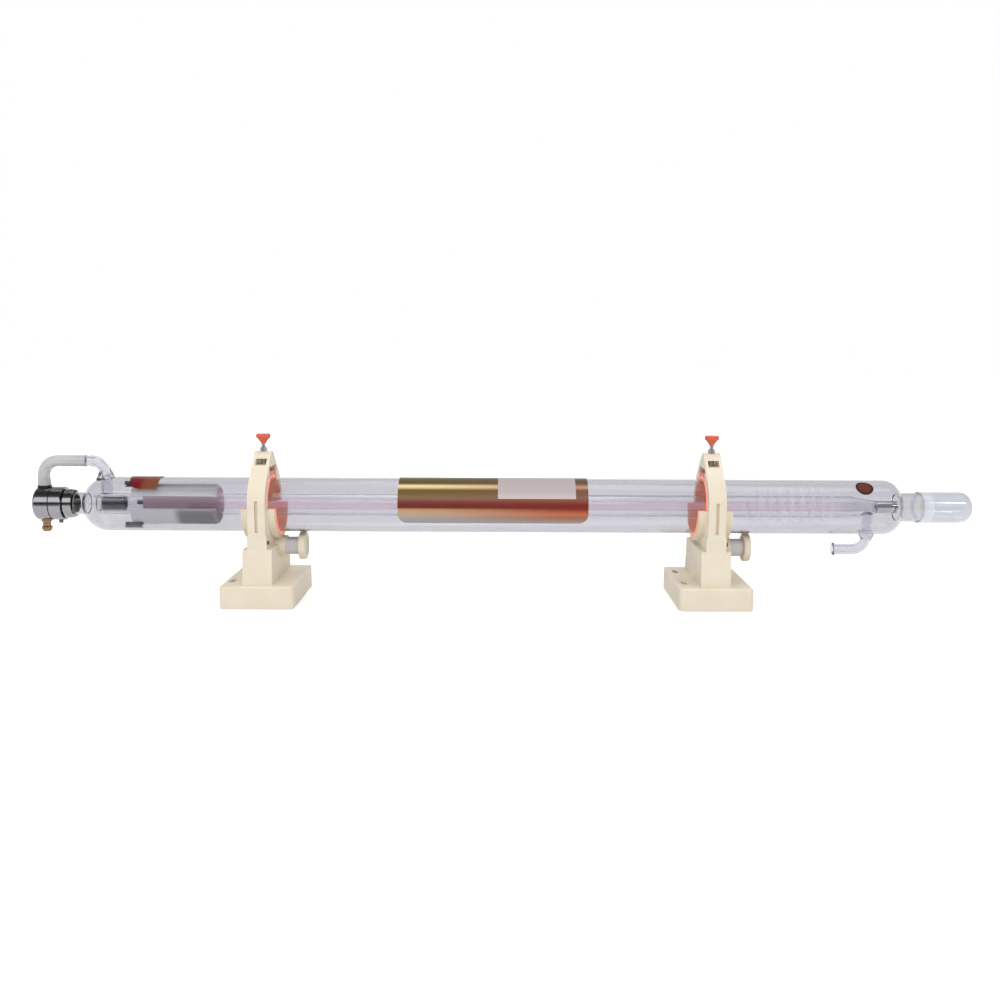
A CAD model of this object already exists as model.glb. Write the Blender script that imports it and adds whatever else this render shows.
"""Looks of a sealed glass gas laser tube on two clamping stands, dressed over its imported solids.

X runs along the tube towards the beam outlet, Y to the back and Z up. The floor is Z = 0.
"""

import logging
import math
from dataclasses import dataclass, field
from enum import Enum

import bmesh
import bpy
from mathutils import Matrix, Vector


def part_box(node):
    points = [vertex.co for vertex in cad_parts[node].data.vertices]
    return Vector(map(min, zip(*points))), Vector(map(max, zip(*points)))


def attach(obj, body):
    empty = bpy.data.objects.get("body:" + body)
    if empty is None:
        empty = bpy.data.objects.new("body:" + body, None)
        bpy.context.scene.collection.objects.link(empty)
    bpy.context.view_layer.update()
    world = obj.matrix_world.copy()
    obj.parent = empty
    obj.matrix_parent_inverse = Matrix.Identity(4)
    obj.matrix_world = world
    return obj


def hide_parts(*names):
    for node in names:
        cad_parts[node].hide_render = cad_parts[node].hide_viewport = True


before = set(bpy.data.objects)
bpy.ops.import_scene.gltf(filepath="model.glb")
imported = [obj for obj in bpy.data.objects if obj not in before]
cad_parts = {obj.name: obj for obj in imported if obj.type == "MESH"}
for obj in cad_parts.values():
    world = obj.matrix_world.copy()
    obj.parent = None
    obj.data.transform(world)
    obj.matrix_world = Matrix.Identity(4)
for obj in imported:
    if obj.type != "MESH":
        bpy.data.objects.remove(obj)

log = logging.getLogger("laser_tube")
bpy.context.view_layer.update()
MM = 0.001
AXIS_Z = 0.140
ROOT = "tube_and_stands"
MERGE_GAP = 1e-7
SMOOTH_ANGLE = 35.0

Colour = tuple[float, float, float, float]
Stops = tuple[tuple[float, Colour], ...]


def srgb(red: float, green: float, blue: float) -> Colour:
    """Turns a display colour of 0 to 255 a channel into the linear colour that a socket takes."""
    return tuple(
        c / 12.92 if c <= 0.04045 else ((c + 0.055) / 1.055) ** 2.4
        for c in (red / 255, green / 255, blue / 255)
    ) + (1.0,)


def grey(value: float) -> Colour:
    """A neutral linear colour."""
    return (value, value, value, 1.0)


def dimmed(colour: Colour, share: float) -> Colour:
    """The colour with its light cut to a share."""
    return tuple(share * c for c in colour[:3]) + (1.0,)


BLACK = grey(0.0)
WHITE = grey(1.0)


# ---------------------------------------------------------------- shader expressions


class Port:
    """An output socket of a material, used as a value in Python expressions."""

    def __init__(self, graph: "Graph", socket: bpy.types.NodeSocket) -> None:
        """Keeps the socket and the graph that it belongs to."""
        self.graph = graph
        self.socket = socket

    def math(self, operation: str, *values: "Port | float") -> "Port":
        """Adds one Math node.

        Args:
            operation: The Math node's operation.
            values: Its inputs, in order.

        Returns:
            The node's output.
        """
        return self.graph.add("ShaderNodeMath", {"operation": operation}, dict(enumerate(values)))

    def __add__(self, other: "Port | float") -> "Port":
        """Sum."""
        return self.math("ADD", self, other)

    __radd__ = __add__

    def __sub__(self, other: "Port | float") -> "Port":
        """Difference."""
        return self.math("SUBTRACT", self, other)

    def __rsub__(self, other: "Port | float") -> "Port":
        """Reflected difference."""
        return self.math("SUBTRACT", other, self)

    def __mul__(self, other: "Port | float") -> "Port":
        """Product."""
        return self.math("MULTIPLY", self, other)

    __rmul__ = __mul__

    def __truediv__(self, other: "Port | float") -> "Port":
        """Quotient."""
        return self.math("DIVIDE", self, other)

    def __pow__(self, other: "Port | float") -> "Port":
        """Power."""
        return self.math("POWER", self, other)

    def above(self, limit: float, soft: float) -> "Port":
        """A mask that rises from 0 to 1 over soft, centred on limit."""
        return self.graph.add(
            "ShaderNodeMapRange",
            {"interpolation_type": "SMOOTHSTEP"},
            {0: self, 1: limit - soft / 2, 2: limit + soft / 2, 3: 0.0, 4: 1.0},
        )

    def between(self, low: float, high: float, soft: float) -> "Port":
        """A mask that is 1 between two limits."""
        return self.above(low, soft) * (1 - self.above(high, soft))


class Graph:
    """The node tree of one material."""

    def __init__(self, name: str) -> None:
        """Makes an empty material."""
        self.material = bpy.data.materials.new(name)
        self._begin(self.material, "ShaderNodeOutputMaterial")

    def _begin(self, owner: "bpy.types.Material | bpy.types.World", output: str) -> None:
        """Empties the owner's tree and adds its output node."""
        owner.use_nodes = True
        self.tree = owner.node_tree
        self.tree.nodes.clear()
        self.output = self.tree.nodes.new(output)

    def add(
        self,
        kind: str,
        settings: dict | None = None,
        inputs: dict | None = None,
        output: int | str = 0,
    ) -> Port:
        """Adds a node.

        Args:
            kind: The node's type.
            settings: Attributes set first; "stops" fills a colour ramp.
            inputs: Socket name or number to a value or a Port.
            output: The output to return.

        Returns:
            That output.
        """
        node = self.tree.nodes.new(kind)
        for name, value in (settings or {}).items():
            if name == "stops":
                self._fill_ramp(node.color_ramp, value)
            else:
                setattr(node, name, value)
        for key, value in (inputs or {}).items():
            self.feed(node.inputs[key], value)
        return Port(self, node.outputs[output])

    def feed(self, socket: bpy.types.NodeSocket, value: "Port | float | tuple") -> None:
        """Links a Port to a socket, or sets the socket's own value."""
        if isinstance(value, Port):
            self.tree.links.new(value.socket, socket)
        else:
            socket.default_value = value

    @staticmethod
    def _fill_ramp(ramp: bpy.types.ColorRamp, stops: Stops) -> None:
        """Puts the stops on a colour ramp."""
        while len(ramp.elements) < len(stops):
            ramp.elements.new(1.0)
        for element, (place, colour) in zip(ramp.elements, stops):
            element.position = place
            element.color = colour

    def place(self) -> Port:
        """The point being shaded, in metres."""
        return self.add("ShaderNodeTexCoord", output="Object")

    def axes(self) -> tuple[Port, Port, Port]:
        """The X, Y and Z of the point being shaded."""
        split = self.add("ShaderNodeSeparateXYZ", inputs={0: self.place()})
        node = split.socket.node
        return tuple(Port(self, node.outputs[i]) for i in range(3))

    def ray(self, kind: str) -> Port:
        """1 for rays of one kind, such as Camera, Glossy, Transmission or Diffuse."""
        return self.add("ShaderNodeLightPath", output=f"Is {kind} Ray")

    def mirrored(self) -> Port:
        """1 for rays off a gloss, and 0 for those let through by glass, which count as glossy."""
        return self.ray("Glossy") * (1 - self.ray("Transmission"))

    def elevation(self, y: Port, z: Port) -> Port:
        """Degrees about the X axis: 0 to the front, 90 up, 180 to the back."""
        return z.math("ARCTAN2", z, 0 - y) * math.degrees(1)

    def noise(self, scale: float, stretch: tuple = (1, 1, 1), detail: float = 3.0) -> Port:
        """Smooth noise of about 0 to 1.

        Args:
            scale: Waves a metre.
            stretch: Factor on each axis of the coordinates.
            detail: Octaves.

        Returns:
            The noise's value.
        """
        point = self.add(
            "ShaderNodeVectorMath", {"operation": "MULTIPLY"}, {0: self.place(), 1: stretch}
        )
        return self.add(
            "ShaderNodeTexNoise", inputs={"Vector": point, "Scale": scale, "Detail": detail}
        )

    def mix(self, factor: "Port | float", first: "Port | tuple", second: "Port | tuple") -> Port:
        """Mixes two colours."""
        sockets = {0: factor, 6: first, 7: second}
        return self.add("ShaderNodeMix", {"data_type": "RGBA"}, sockets, output=2)

    def ramp(self, factor: Port, stops: Stops) -> Port:
        """Turns a value into a colour by stops."""
        return self.add("ShaderNodeValToRGB", {"stops": stops}, {0: factor})

    def bump(self, height: Port, strength: float, distance: float) -> Port:
        """A normal tilted by a height."""
        sockets = {"Strength": strength, "Distance": distance, "Height": height}
        return self.add("ShaderNodeBump", inputs=sockets)

    def surface(self, **sockets: "Port | float | tuple") -> bpy.types.Material:
        """Finishes the material with one Principled shader.

        Args:
            sockets: Socket names, with _ for a space, to their values.

        Returns:
            The material.
        """
        names = {key.replace("_", " "): value for key, value in sockets.items()}
        shader = self.add("ShaderNodeBsdfPrincipled", inputs=names)
        self.tree.links.new(shader.socket, self.output.inputs["Surface"])
        return self.material


class WorldGraph(Graph):
    """The node tree of the world, which sees directions in place of points."""

    def __init__(self, name: str) -> None:
        """Makes an empty world and sets it on the scene."""
        world = bpy.data.worlds.new(name)
        bpy.context.scene.world = world
        self._begin(world, "ShaderNodeOutputWorld")

    def place(self) -> Port:
        """The direction of the ray."""
        return self.add("ShaderNodeTexCoord", output="Generated")

    def light(self, colour: Port, strength: "Port | float") -> None:
        """Finishes the world with one background."""
        shader = self.add("ShaderNodeBackground", inputs={"Color": colour, "Strength": strength})
        self.tree.links.new(shader.socket, self.output.inputs["Surface"])


# ---------------------------------------------------------------- finishes


@dataclass(frozen=True)
class Glass:
    """Clear glass that bends light, with faint streaks and draw lines along the tube."""

    name: str
    tint: Colour = srgb(246, 246, 250)
    roughness: float = 0.0
    ior: float = 1.46
    draw_lines: float = 0.0
    coat: float = 0.0
    streak_share: float = 0.93

    def make(self) -> bpy.types.Material:
        """Returns the material."""
        g = Graph(self.name)
        streaks = g.noise(26, (0.02, 6.0, 6.0))
        streaked = g.mix(streaks * 1.2 - 0.5, self.tint, dimmed(self.tint, self.streak_share))
        sockets = {
            "Base_Color": streaked,
            "Roughness": self.roughness,
            "IOR": self.ior,
            "Transmission_Weight": 1.0,
            "Coat_Weight": self.coat,
            "Coat_Roughness": 0.04,
        }
        if self.draw_lines:
            lines = g.noise(60, (0.05, 3.0, 3.0), 2.0)
            sockets["Normal"] = g.bump(lines, self.draw_lines, 1 * MM)
        return g.surface(**sockets)


@dataclass(frozen=True)
class ClearSkin:
    """Glass or plastic seen as a light tint with a gloss, for what lies inside other glass."""

    name: str
    tint: Colour
    alpha: float
    roughness: float
    glow: Colour
    streak: float = 0.1

    def make(self) -> bpy.types.Material:
        """Returns the material."""
        g = Graph(self.name)
        lines = g.noise(90, (0.04, 1.0, 1.0), 2.0)
        return g.surface(
            Base_Color=self.tint,
            Roughness=self.roughness,
            Alpha=self.alpha + self.streak * (lines - 0.5),
            Emission_Color=self.glow,
            Emission_Strength=1.0,
        )


@dataclass(frozen=True)
class Moulded:
    """Moulded plastic with a faint mottle, a fine skin and some light under it."""

    name: str
    colour: Colour
    shade: Colour
    roughness: float
    grain: float = 0.12
    depth: float = 0.0

    def make(self) -> bpy.types.Material:
        """Returns the material."""
        g = Graph(self.name)
        clouds = g.noise(28, detail=4.0)
        fine = g.noise(2600, detail=2.0)
        return g.surface(
            Base_Color=g.mix(clouds * 1.6 - 0.45, self.colour, self.shade),
            Roughness=self.roughness + 0.12 * (clouds - 0.5),
            Subsurface_Weight=self.depth,
            Subsurface_Radius=(4 * MM, 2 * MM, 1 * MM),
            Subsurface_Scale=1.0,
            Normal=g.bump(fine, self.grain, 0.2 * MM),
        )


@dataclass(frozen=True)
class Metal:
    """Turned or rolled metal with fine marks round the tube's axis."""

    name: str
    colour: Colour
    roughness: float
    marks: float = 0.1
    stretch: tuple = (40.0, 1.0, 1.0)
    cloud: float = 0.08
    cloud_share: float = 0.62

    def make(self) -> bpy.types.Material:
        """Returns the material."""
        g = Graph(self.name)
        lines = g.noise(40, self.stretch)
        clouds = g.noise(60)
        dark = dimmed(self.colour, self.cloud_share)
        return g.surface(
            Base_Color=g.mix(clouds * self.cloud * 4, self.colour, dark),
            Metallic=1.0,
            Roughness=self.roughness + self.cloud * (clouds - 0.4),
            Normal=g.bump(lines, self.marks, 0.2 * MM),
        )


@dataclass(frozen=True)
class Rubber:
    """Soft rubber or silicone with a matte bloom."""

    name: str
    colour: Colour
    shade: Colour
    roughness: float
    clear: float = 0.0
    glow: Colour = BLACK

    def make(self) -> bpy.types.Material:
        """Returns the material."""
        g = Graph(self.name)
        clouds = g.noise(70)
        fine = g.noise(3000)
        return g.surface(
            Base_Color=g.mix(clouds, self.colour, self.shade),
            Roughness=self.roughness + 0.15 * (clouds - 0.5),
            Transmission_Weight=self.clear,
            IOR=1.4,
            Emission_Color=self.glow,
            Emission_Strength=1.0,
            Normal=g.bump(fine, 0.1, 0.2 * MM),
        )


@dataclass(frozen=True)
class WrapFilm:
    """A printed film wrapped on the shell: bands of colour by elevation, changed along the tube.

    The stops run from 0 at the low edge's elevation to 1 at the high edge's, in degrees.
    """

    name: str
    low: float
    high: float
    left_stops: Stops
    right_stops: Stops
    left_x: float
    right_x: float
    roughness: float = 0.3
    metallic: float = 0.15
    blend: float = 1.0

    def make(self) -> bpy.types.Material:
        """Returns the material."""
        g = Graph(self.name)
        x, y, z = g.axes()
        height = (g.elevation(y, z - AXIS_Z) - self.low) / (self.high - self.low)
        along = (x - self.left_x) / (self.right_x - self.left_x)
        left, right = g.ramp(height, self.left_stops), g.ramp(height, self.right_stops)
        clouds = g.noise(45, (0.4, 1, 1))
        return g.surface(
            Base_Color=g.mix(along.above(0.5, self.blend), left, right),
            Metallic=self.metallic,
            Roughness=self.roughness + 0.1 * (clouds - 0.5),
        )


@dataclass(frozen=True)
class DotFilm:
    """A round spot of film, mottled red-brown with a dark rim."""

    name: str
    centre_x: float
    half_x: float
    middle: float = 53.0
    half_angle: float = 18.2
    rim_start: float = 0.78
    rim: Colour = srgb(38, 20, 16)
    warm: Colour = srgb(120, 48, 36)
    mid: Colour = srgb(84, 44, 28)

    def make(self) -> bpy.types.Material:
        """Returns the material."""
        g = Graph(self.name)
        x, y, z = g.axes()
        across = (x - self.centre_x) / self.half_x
        height = (g.elevation(y, z - AXIS_Z) - self.middle) / self.half_angle
        out = (across * across + height * height) ** 0.5
        spots = g.noise(420, detail=2.0).above(0.5, 0.16)
        mottle = g.mix(spots, self.mid, self.warm)
        return g.surface(
            Base_Color=g.mix(out.above(self.rim_start, 0.2), mottle, self.rim),
            Metallic=0.1,
            Roughness=0.4 + 0.1 * spots,
        )


@dataclass(frozen=True)
class GlowingBore:
    """The discharge bore: clear round the anode, then pink from the gas that glows in it.

    Its wall shows as a darker line along its upper and lower edge.
    """

    name: str
    start_x: float = -0.530
    end_x: float = 0.500
    sheet_x: float = -0.416
    sheet_share: float = 0.3
    pink: Colour = (0.74, 0.46, 0.56, 1.0)
    clear: Colour = srgb(222, 222, 228)
    wall: Colour = srgb(150, 140, 150)

    def make(self) -> bpy.types.Material:
        """Returns the material."""
        g = Graph(self.name)
        x, y, z = g.axes()
        lit = x.between(self.start_x, self.end_x, 12 * MM)
        drift = g.noise(9, (1, 0, 0), 2.0)
        angle = g.elevation(y, z - AXIS_Z)
        edge = angle.between(66, 96, 12) + angle.between(-114, -84, 12)
        past_sheet = x.above(self.sheet_x, 20 * MM)
        glow = lit * (self.sheet_share + (1 - self.sheet_share) * past_sheet) * (1 - 0.8 * edge)
        return g.surface(
            Base_Color=g.mix(edge, g.mix(lit, self.clear, self.pink), self.wall),
            Roughness=0.3,
            Alpha=0.03 + lit * (0.04 + 0.02 * drift) + 0.3 * edge,
            Emission_Color=g.mix(glow, BLACK, self.pink),
            Emission_Strength=1.0,
        )


@dataclass(frozen=True)
class CathodeSheet:
    """Rolled satin sheet, duller and darker low down on its right half, lit pink within."""

    name: str
    bright: Colour = srgb(206, 204, 207)
    dull: Colour = srgb(120, 118, 122)
    bright_glow: Colour = (0.21, 0.21, 0.215, 1.0)
    dull_glow: Colour = (0.06, 0.06, 0.063, 1.0)
    edge_glow: Colour = (0.05, 0.05, 0.052, 1.0)
    low_inner_glow: Colour = (0.13, 0.095, 0.11, 1.0)
    high_inner_glow: Colour = (0.23, 0.175, 0.20, 1.0)
    turn_x: float = -0.474
    inner_r: float = 0.029
    edge_z: float = 0.026

    def make(self) -> bpy.types.Material:
        """Returns the material."""
        g = Graph(self.name)
        x, y, z = g.axes()
        rise = z - AXIS_Z
        streaks = g.noise(30, (0.3, 6, 6))
        low = 1 - rise.above(-4 * MM, 10 * MM)
        dull = low * x.above(self.turn_x, 14 * MM)
        inside = 1 - (y * y + rise * rise).above(self.inner_r**2, 1e-5)
        outer = g.mix(dull, self.bright_glow, self.dull_glow)
        outer = g.mix(rise.above(self.edge_z, 3 * MM), outer, self.edge_glow)
        inner = g.mix(rise.above(2 * MM, 8 * MM), self.low_inner_glow, self.high_inner_glow)
        return g.surface(
            Base_Color=g.mix(dull, self.bright, self.dull),
            Metallic=0.1,
            Roughness=0.6 + 0.15 * (streaks - 0.5),
            Emission_Color=g.mix(inside, outer, inner),
            Emission_Strength=1.0,
            Normal=g.bump(streaks, 0.25, 0.4 * MM),
        )


# ---------------------------------------------------------------- mesh helpers


@dataclass
class Outline:
    """A turned outline: points of (X, radius) in millimetres, in order."""

    points: list[tuple[float, float]] = field(default_factory=list)

    def to(self, *points: tuple[float, float]) -> "Outline":
        """Adds straight runs to the given points."""
        self.points.extend(points)
        return self

    def arc(
        self, centre: tuple[float, float], radius: float, start: float, end: float, steps: int
    ) -> "Outline":
        """Adds an arc.

        Args:
            centre: The arc's centre as (X, radius).
            radius: The arc's own radius.
            start: First angle in degrees, 0 towards +X and 90 outwards.
            end: Last angle.
            steps: Chords in the arc.

        Returns:
            The outline.
        """
        for i in range(steps + 1):
            angle = math.radians(start + (end - start) * i / steps)
            x = centre[0] + radius * math.cos(angle)
            self.points.append((x, centre[1] + radius * math.sin(angle)))
        return self


def finish_mesh(bm: bmesh.types.BMesh, name: str) -> bpy.types.Object:
    """Turns a bmesh into an object at the origin, smooth but for its sharp edges.

    Args:
        bm: The mesh, in metres.
        name: The object's name.

    Returns:
        The object.
    """
    bmesh.ops.remove_doubles(bm, verts=bm.verts, dist=MERGE_GAP)
    bmesh.ops.recalc_face_normals(bm, faces=bm.faces)
    for face in bm.faces:
        face.smooth = True
    limit = math.radians(SMOOTH_ANGLE)
    for edge in bm.edges:
        edge.smooth = edge.is_manifold and edge.calc_face_angle(0.0) < limit
    mesh = bpy.data.meshes.new(name)
    bm.to_mesh(mesh)
    bm.free()
    obj = bpy.data.objects.new(name, mesh)
    bpy.context.scene.collection.objects.link(obj)
    return obj


def revolve(name: str, outline: Outline, steps: int) -> bpy.types.Object:
    """Spins a closed outline about the tube's axis.

    Args:
        name: The new object's name.
        outline: The outline in millimetres.
        steps: Facets round the axis.

    Returns:
        The object.
    """
    bm = bmesh.new()
    verts = [bm.verts.new((x * MM, 0, AXIS_Z + r * MM)) for x, r in outline.points]
    edges = [bm.edges.new(pair) for pair in zip(verts, verts[1:] + verts[:1])]
    bmesh.ops.spin(
        bm,
        geom=verts + edges,
        cent=(0, 0, AXIS_Z),
        axis=(1, 0, 0),
        dvec=(0, 0, 0),
        angle=math.tau,
        steps=steps,
        use_merge=True,
        use_duplicate=False,
    )
    return finish_mesh(bm, name)


def dress(material: bpy.types.Material, *nodes: str) -> None:
    """Gives carried-over nodes their material."""
    for node in nodes:
        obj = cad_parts[node]
        obj.data.materials.clear()
        obj.data.materials.append(material)
        log.info("node %s wears %s", node, material.name)


def add_piece(
    obj: bpy.types.Object, body: str, slot: str, material: bpy.types.Material, *nodes: str
) -> None:
    """Sets a new piece on its body, with its finish and the nodes that it stands for.

    Args:
        obj: The piece.
        body: The body that it rides on.
        slot: The name of its material slot.
        material: Its finish.
        nodes: The nodes that it replaces.
    """
    obj.data.materials.append(material)
    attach(obj, body)
    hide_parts(*nodes)
    log.info("piece %s: %d faces", obj.name, len(obj.data.polygons))


# ---------------------------------------------------------------- sub-assemblies


class Side(Enum):
    """The two stands."""

    LEFT = "left"
    RIGHT = "right"


@dataclass
class GlassTube:
    """The glass envelope, its inner tubes and the metal sheet inside. Sizes are in millimetres."""

    shell_r: float = 40.0
    wall: float = 2.5
    rear_neck_r: float = 16.5
    rear_neck_length: float = 13.6
    outlet_neck_r: float = 21.25
    outlet_neck_length: float = 31.6
    shoulder_r: float = 25.0
    facets: int = 160
    dome_chords: int = 24
    shoulder_chords: int = 18
    shell_glass: Glass = Glass("shell_glass_drawn", srgb(233, 232, 236))
    branch_glass: Glass = Glass("branch_glass", srgb(240, 239, 245))
    jacket_glass: Glass = Glass("jacket_glass", srgb(251, 250, 253))
    bore_glass: GlowingBore = GlowingBore("bore_glass")
    coil_glass: ClearSkin = ClearSkin(
        "coil_glass",
        srgb(214, 211, 220),
        alpha=0.25,
        roughness=0.1,
        glow=(0.42, 0.41, 0.45, 1.0),
    )
    sheet: CathodeSheet = CathodeSheet("cathode_sheet")
    dark: Metal = Metal("dark_sheet", srgb(86, 82, 88), roughness=0.35)
    sleeve: Metal = Metal("outlet_sleeve_metal", srgb(226, 225, 227), roughness=0.08)

    def build(self) -> None:
        """Makes and dresses every piece."""
        self.shell()
        dress(self.branch_glass.make(), "inlet_branch", "outlet_branch")
        dress(self.jacket_glass.make(), "water_jacket")
        dress(self.bore_glass.make(), "bore_tube")
        dress(self.coil_glass.make(), "return_coil")
        dress(self.sheet.make(), "cathode")
        dress(self.dark.make(), "cathode_clips", "anode_sleeve")
        dress(self.sleeve.make(), "outlet_sleeve")

    def shell(self) -> None:
        """The outer shell as one fine revolve, its wall and both necks included."""
        lo, hi = (corner.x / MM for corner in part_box("outer_shell"))
        dome = lo + self.rear_neck_length + math.sqrt(self.shell_r**2 - self.rear_neck_r**2)
        rise = self.outlet_neck_r - (self.shell_r - self.shoulder_r)
        shoulder = hi - self.outlet_neck_length - math.sqrt(self.shoulder_r**2 - rise**2)
        out = Outline().to((lo, self.rear_neck_r - self.wall), (lo, self.rear_neck_r))
        self._dome(out, dome, 0.0, False)
        self._shoulder(out, shoulder, 0.0, False)
        out.to((hi, self.outlet_neck_r), (hi, self.outlet_neck_r - self.wall))
        self._shoulder(out, shoulder, self.wall, True)
        self._dome(out, dome, self.wall, True)
        obj = revolve("glass_shell", out, self.facets)
        add_piece(obj, ROOT, "shell_glass", self.shell_glass.make(), "outer_shell")

    def _dome(self, out: Outline, x: float, inset: float, back: bool) -> None:
        """Adds the round left end, drawn in by inset, forwards or back."""
        radius = self.shell_r - inset
        meet = math.degrees(math.acos((self.rear_neck_r - inset) / radius))
        ends = (90, 90 + meet) if back else (90 + meet, 90)
        out.arc((x, 0), radius, *ends, self.dome_chords)

    def _shoulder(self, out: Outline, x: float, inset: float, back: bool) -> None:
        """Adds the right shoulder, drawn in by inset, forwards or back."""
        radius = self.shoulder_r - inset
        centre = self.shell_r - self.shoulder_r
        drop = math.degrees(math.asin((self.outlet_neck_r - inset - centre) / radius))
        ends = (drop, 90) if back else (90, drop)
        out.arc((x, centre), radius, *ends, self.shoulder_chords)


@dataclass
class MirrorHead:
    """The metal head with the rear mirror, its nozzle and the hose."""

    plating: Metal = Metal("head_plating", srgb(176, 174, 178), roughness=0.14, marks=0.12)
    steel: Metal = Metal("screw_steel", srgb(120, 116, 118), roughness=0.3)
    seal: Rubber = Rubber("black_seal", srgb(38, 34, 36), srgb(24, 22, 24), roughness=0.45)
    mirror: Metal = Metal("mirror_coat", srgb(235, 205, 140), roughness=0.03, marks=0.0)
    brass: Metal = Metal("nozzle_brass", srgb(168, 140, 108), roughness=0.22)
    hose: Rubber = Rubber(
        "clear_hose", srgb(240, 239, 240), srgb(230, 224, 227), roughness=0.15, clear=0.5
    )

    def build(self) -> None:
        """Dresses the head's nodes."""
        dress(self.plating.make(), "head_cap", "head_body", "adjusting_ring")
        dress(self.steel.make(), "head_screws", "adjusting_screws", "terminal_screw")
        dress(self.seal.make(), "head_gasket", "seat_seal", "hose_gland")
        dress(self.mirror.make(), "rear_mirror")
        dress(self.brass.make(), "inlet_nozzle", "hose_spigot")
        dress(self.hose.make(), "bypass_hose")


@dataclass
class OutletEnd:
    """The outlet's window, its mount and the clear cap."""

    mount: ClearSkin = ClearSkin(
        "window_mount_glass",
        srgb(226, 228, 232),
        alpha=0.75,
        roughness=0.2,
        glow=(0.34, 0.35, 0.36, 1.0),
    )
    window: Glass = Glass("coated_window", srgb(246, 238, 214))
    cap: Glass = Glass(
        "clear_cap", srgb(238, 240, 244), roughness=0.03, ior=1.1, draw_lines=0.25, coat=1.0
    )

    def build(self) -> None:
        """Dresses the outlet's nodes."""
        dress(self.mount.make(), "outlet_mount", "window_retainer")
        dress(self.window.make(), "outlet_window")
        dress(self.cap.make(), "outlet_cap")


@dataclass
class Labels:
    """Films on the shell."""

    @staticmethod
    def span(node: str) -> tuple[float, float]:
        """The left and right end of a label."""
        low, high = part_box(node)
        return low.x, high.x

    def build(self) -> None:
        """Dresses the four labels."""
        olive, gold, brown = srgb(98, 82, 44), srgb(250, 222, 165), srgb(114, 92, 50)
        red, tan, edge = srgb(116, 46, 34), srgb(196, 152, 108), srgb(158, 156, 158)
        russet = srgb(126, 88, 66)
        left = (
            (0.0, edge), (0.06, edge), (0.13, srgb(178, 160, 140)), (0.23, tan), (0.262, red),
            (0.36, red), (0.40, srgb(124, 86, 60)), (0.46, brown), (0.55, brown), (0.61, gold),
            (0.63, gold), (0.685, olive), (0.74, olive), (1.0, srgb(80, 66, 38)),
        )
        right = (
            (0.0, edge), (0.06, srgb(160, 124, 102)), (0.11, srgb(158, 98, 68)),
            (0.155, srgb(186, 102, 66)), (0.19, srgb(182, 86, 52)), (0.22, srgb(156, 60, 36)),
            (0.25, srgb(130, 42, 24)), (0.33, srgb(124, 38, 34)), (0.40, srgb(124, 72, 52)),
            (0.46, russet), (0.55, russet), (0.61, srgb(193, 151, 121)),
            (0.63, srgb(184, 140, 112)), (0.685, russet), (0.74, srgb(96, 76, 56)),
            (1.0, srgb(80, 66, 46)),
        )
        span = self.span("gold_label")
        dress(WrapFilm("gold_film", -31, 100, left, right, *span).make(), "gold_label")

        pale = (
            (0.0, srgb(196, 180, 180)), (0.5, srgb(184, 170, 171)), (1.0, srgb(168, 158, 158)),
        )
        span = self.span("white_label")
        film = WrapFilm("pale_film", 22, 94, pale, pale, *span, roughness=0.35, metallic=0.1)
        dress(film.make(), "white_label")

        reds = (
            (0.0, srgb(122, 16, 22)), (0.5, srgb(112, 10, 18)), (0.8, srgb(98, 12, 20)),
            (0.9, srgb(66, 10, 18)),
        )
        browns = (
            (0.0, srgb(130, 74, 50)), (0.5, srgb(122, 62, 44)), (0.8, srgb(106, 54, 40)),
            (0.9, srgb(64, 20, 22)),
        )
        span = self.span("red_label")
        film = WrapFilm("red_film", 40, 102, reds, browns, *span, metallic=0.1, blend=0.2)
        dress(film.make(), "red_label")

        low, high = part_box("dot_label")
        dot = DotFilm("brown_film", (low.x + high.x) / 2, (high.x - low.x) / 2)
        dress(dot.make(), "dot_label")


@dataclass
class ClampStand:
    """One stand with its yoke, clamp screw and side knob."""

    side: Side

    def node(self, name: str) -> str:
        """The name of this stand's own node."""
        return f"{name}_{self.side.value}"

    def build(self, finishes: dict[str, bpy.types.Material]) -> None:
        """Dresses the stand's nodes.

        Args:
            finishes: Node stem to material.
        """
        for stem, material in finishes.items():
            dress(material, self.node(stem))


def stand_finishes() -> dict[str, bpy.types.Material]:
    """Makes the materials that both stands share.

    Returns:
        Node stem to material.
    """
    cream = Moulded(
        "cream_plastic", srgb(234, 223, 203), srgb(227, 213, 191), roughness=0.5, depth=0.15
    ).make()
    red = Rubber(
        "red_liner",
        srgb(244, 134, 104),
        srgb(238, 116, 88),
        roughness=0.5,
        glow=(0.36, 0.165, 0.115, 1.0),
    ).make()
    orange = Moulded(
        "red_plastic", srgb(222, 106, 82), srgb(212, 92, 70), roughness=0.35, depth=0.1
    ).make()
    sleeve = Moulded(
        "grey_plastic", srgb(210, 209, 212), srgb(200, 199, 203), roughness=0.4
    ).make()
    steel = Metal(
        "bright_steel", srgb(206, 206, 209), roughness=0.34, stretch=(1, 1, 40)
    ).make()
    dark = Metal("cross_screw_steel", srgb(110, 106, 106), roughness=0.3).make()
    brass = Metal("insert_brass", srgb(200, 160, 104), roughness=0.3).make()
    return {
        "stand": cream, "yoke": cream, "lock_knob": cream, "cradle_liner": red,
        "yoke_liner": red, "clamp_pad": red, "clamp_shoe": orange, "thumb_head": orange,
        "knob_sleeve": sleeve, "clamp_screw": steel, "clamp_bush": steel, "knob_stud": steel,
        "yoke_screws": dark, "knob_insert": brass,
    }


# ---------------------------------------------------------------- studio


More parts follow.
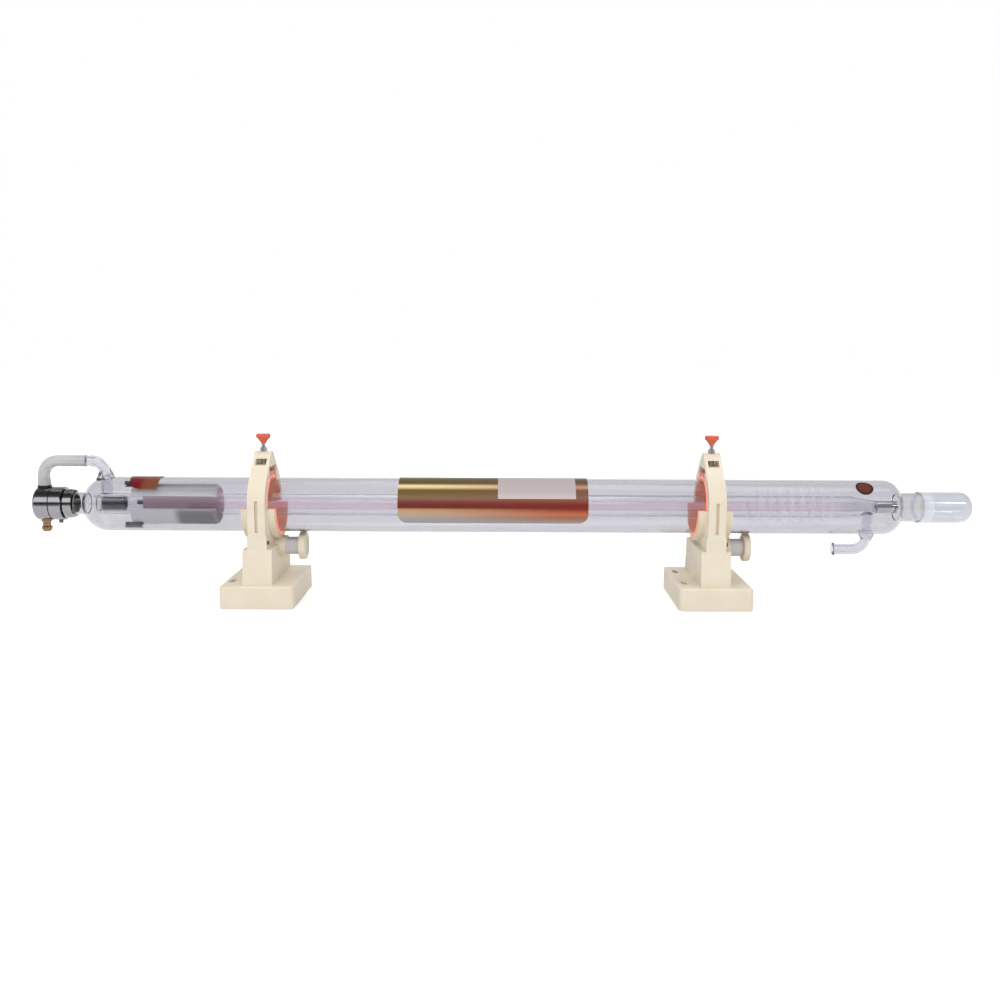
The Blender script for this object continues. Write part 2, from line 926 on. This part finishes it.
@dataclass(frozen=True)
class Lamp:
    """A rectangular softbox aimed at the tube, which the camera never sees."""

    name: str
    place: tuple[float, float, float]
    size: tuple[float, float]
    power: float
    mirrored: bool = False

    def make(self) -> None:
        """Adds the lamp to the scene."""
        data = bpy.data.lights.new(self.name, "AREA")
        data.shape, data.size, data.size_y = "RECTANGLE", *self.size
        data.energy = self.power
        lamp = bpy.data.objects.new(self.name, data)
        aim = Vector((0, 0, AXIS_Z)) - Vector(self.place)
        turn = aim.to_track_quat("-Z", "Y").to_matrix().to_4x4()
        lamp.matrix_world = Matrix.Translation(self.place) @ turn
        lamp.visible_camera = False
        lamp.visible_glossy = self.mirrored
        bpy.context.scene.collection.objects.link(lamp)


@dataclass
class Studio:
    """Camera, floor, world and lamps.

    A step is where a change of brightness lies and how wide it is, in metres. A band is an
    elevation in degrees, 0 to the front and 90 up, and the grey that is found there.
    """

    lens: float = 36.576
    sensor: float = 36.0
    clip: tuple[float, float] = (0.01, 100.0)
    place: tuple[float, float, float] = (-0.0059, -1.478, 0.374)
    pitch: float = 8.7
    roll: float = 0.28

    floor_size: float = 12.0
    floor_base: Colour = grey(0.86)
    floor_roughness: float = 0.9
    near: Colour = grey(0.36)
    far: Colour = grey(0.7)
    away_step: tuple[float, float] = (1.5, 1.8)
    away_share: float = 0.3
    bent_behind: Colour = grey(0.03)
    behind_step: tuple[float, float] = (0.35, 0.5)
    bent_backdrop: Colour = (0.22, 0.22, 0.23, 1.0)
    backdrop_step: tuple[float, float] = (1.3, 1.4)
    mirrored_far: Colour = grey(0.2)
    front_base: Colour = grey(0.04)
    front_step: tuple[float, float] = (-0.8, 0.2)

    mirrored_bands: tuple[tuple[float, float], ...] = (
        (-180, 0.9), (-90, 0.6), (-20, 0.45), (-10, 0.35), (-8, 0.03), (13, 0.03), (18, 1.0),
        (46, 1.0), (52, 0.08), (80, 0.03), (110, 0.1), (140, 0.35), (170, 0.9), (180, 0.9),
    )
    bent_bands: tuple[tuple[float, float], ...] = (
        (-180, 1.0), (-90, 0.4), (0, 0.35), (60, 0.35), (120, 0.45), (150, 0.6), (165, 0.85),
        (180, 1.0),
    )
    diffuse_light: Colour = (0.72, 0.73, 0.74, 1.0)
    mirrored_gain: float = 0.25

    lamps: tuple[Lamp, ...] = (
        Lamp("key", (-0.6, -1.6, 1.9), (2.4, 0.8), 20.0),
        Lamp("top", (0.3, 0.4, 2.2), (2.6, 0.9), 14.0),
        Lamp("strip", (1.553, -1.478, 1.518), (0.09, 0.2), 2.4, mirrored=True),
    )

    def build(self) -> None:
        """Sets up everything that isn't part of the object."""
        self.camera()
        self.floor()
        self.world()
        for lamp in self.lamps:
            lamp.make()
        bpy.context.scene.view_settings.view_transform = "Standard"

    def camera(self) -> None:
        """The camera, with a slight look down and a slight roll."""
        data = bpy.data.cameras.new("camera")
        data.lens, data.sensor_width = self.lens, self.sensor
        data.clip_start, data.clip_end = self.clip
        cam = bpy.data.objects.new("camera", data)
        tilt = Matrix.Rotation(math.radians(90 - self.pitch), 4, "X")
        lean = Matrix.Rotation(math.radians(self.roll), 4, "Z")
        cam.matrix_world = Matrix.Translation(self.place) @ (tilt @ lean)
        bpy.context.scene.collection.objects.link(cam)
        bpy.context.scene.camera = cam

    def floor(self) -> None:
        """A wide pale floor that keeps the soft shadow and reads as white.

        Rays bent by the glass find it darker near the object, as in a studio with a lit backdrop.
        Rays mirrored by the metal find it dark too, and darkest in front.
        """
        bm = bmesh.new()
        bmesh.ops.create_grid(bm, x_segments=1, y_segments=1, size=self.floor_size)
        obj = finish_mesh(bm, "floor")
        g = Graph("floor_white")
        x, y, _ = g.axes()
        away = ((x * x * self.away_share + y * y) ** 0.5).above(*self.away_step)
        seen = g.mix(away, self.near, self.far)
        bent = g.mix(y.above(*self.behind_step), BLACK, self.bent_behind)
        bent = g.mix(y.above(*self.backdrop_step), bent, self.bent_backdrop)
        mirrored = g.mix(away, BLACK, self.mirrored_far)
        glow = g.mix(g.ray("Camera"), BLACK, seen)
        glow = g.mix(g.ray("Transmission"), glow, bent)
        glow = g.mix(g.mirrored(), glow, mirrored)
        front = (1 - y.above(*self.front_step)) * g.mirrored()
        finish = g.surface(
            Base_Color=g.mix(front, self.floor_base, self.front_base),
            Roughness=self.floor_roughness,
            Emission_Color=glow,
            Emission_Strength=1.0,
        )
        obj.data.materials.append(finish)

    def world(self) -> None:
        """White where it is seen; bands of light and dark where it is mirrored or bent."""
        g = WorldGraph("studio")
        _, y, z = g.axes()
        angle = (g.elevation(y, z) + 180) / 360
        mirrored = g.ramp(angle, self.stops(self.mirrored_bands))
        bent = g.ramp(angle, self.stops(self.bent_bands))
        colour = g.mix(g.ray("Diffuse"), WHITE, self.diffuse_light)
        colour = g.mix(g.ray("Transmission"), colour, bent)
        colour = g.mix(g.mirrored(), colour, mirrored)
        g.light(colour, 1 + self.mirrored_gain * g.mirrored())

    @staticmethod
    def stops(bands: tuple[tuple[float, float], ...]) -> Stops:
        """The ramp stops of bands, from -180 to 180 degrees."""
        return tuple(((degrees + 180) / 360, grey(value)) for degrees, value in bands)


def main() -> None:
    """Builds every sub-assembly in order."""
    logging.basicConfig(level=logging.INFO, format="%(name)s: %(message)s")
    GlassTube().build()
    MirrorHead().build()
    OutletEnd().build()
    Labels().build()
    finishes = stand_finishes()
    for side in Side:
        ClampStand(side).build(finishes)
    Studio().build()


if __name__ == "__main__":
    main()
